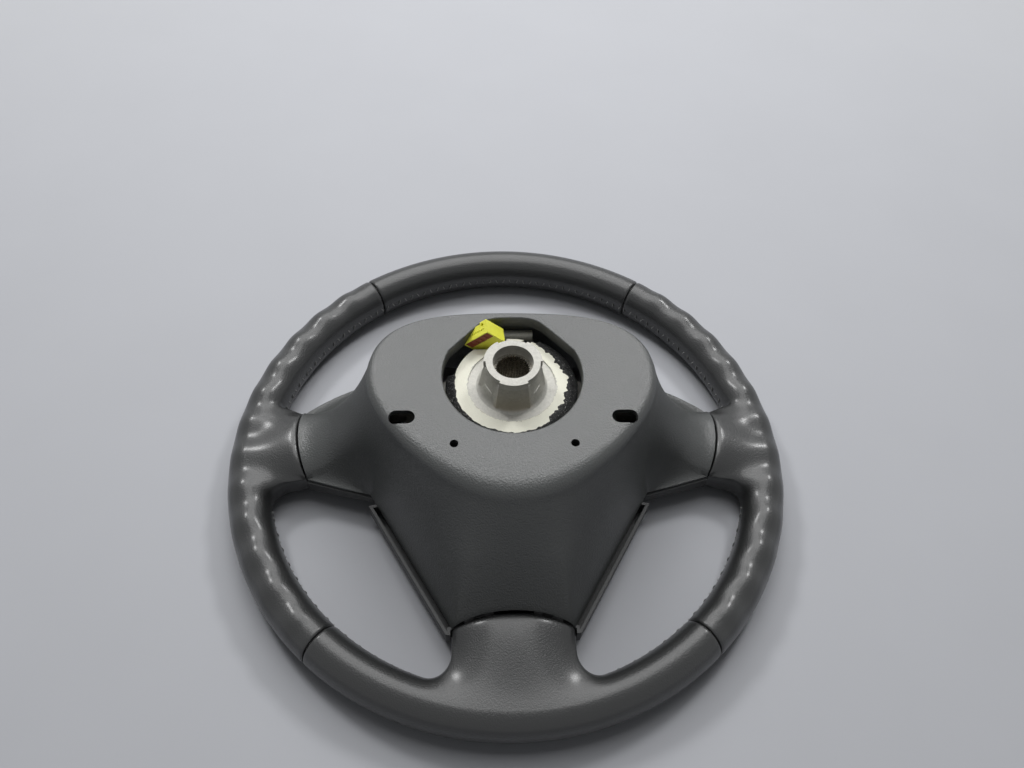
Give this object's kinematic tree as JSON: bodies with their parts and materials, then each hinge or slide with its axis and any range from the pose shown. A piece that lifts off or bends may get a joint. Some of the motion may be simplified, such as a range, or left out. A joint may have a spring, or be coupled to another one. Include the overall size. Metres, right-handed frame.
{
  "type": "car steering wheel",
  "caption": "Three-spoke car steering wheel with a leather-wrapped rim, lying face down. Its rear cover, open hub with splined bore, harness plug and sprung horn pad with airbag module are built.",
  "frame": {"origin": "on the hub's axis, in the front plane of the rim, which is also the bottom centre of the box round the part", "axes": "+Z along the steering axis towards the column, +Y towards 12 o'clock"},
  "size_m": [0.375, 0.375, 0.118],
  "materials": {
    "leather": "charcoal, fine grain, satin from use",
    "cover_plastic": "fine moulded grain",
    "trim_plastic": "light grey, satin",
    "pad_plastic": "fine grain",
    "cast_alloy": "as cast, flange machined",
    "steel": "plain",
    "zinc_sheet": "zinc plated",
    "bright_wire": "bright drawn",
    "foam": "rough moulded skin",
    "yellow_plastic": "satin",
    "lock_plastic": "satin",
    "loom_sleeve": "woven sleeve",
    "bush_plastic": "natural",
    "brass_contact": "plain",
    "cushion_fabric": "folded, woven"
  },
  "bodies": {
    "wheel": {"hub_casting": "cast_alloy", "hub_boss": "cast_alloy", "spline_sleeve": "steel", "rim_hoop": "steel", "rim_foam": "foam", "leather_top": "leather", "leather_left": "leather", "leather_right": "leather", "leather_bottom": "leather", "rear_cover": "cover_plastic", "spoke_trim_left": "trim_plastic", "spoke_trim_right": "trim_plastic", "lower_bezel": "trim_plastic", "hub_foam_ring": "foam", "cover_screws": "steel", "trim_screws": "steel", "harness_plug": "yellow_plastic", "terminal_lock": "lock_plastic", "harness_loom": "loom_sleeve", "retaining_clips": "bright_wire", "pin_bushes": "bush_plastic", "contact_posts": "brass_contact", "horn_springs": "bright_wire"},
    "horn_pad": {"pad_cover": "pad_plastic", "module_tray": "zinc_sheet", "inflator": "zinc_sheet", "airbag_cushion": "cushion_fabric", "cushion_ring": "zinc_sheet", "tray_nuts": "steel", "latch_pins": "bright_wire"}
  },
  "joints": [
    {"name": "horn_press", "type": "slide", "parent": "wheel", "child": "horn_pad", "axis": [0, 0, 1], "range_m": [0, 0.0025], "stiffness_N_per_m": 9000, "springref_m": -0.004, "deforming": ["horn_springs"]}
  ]
}
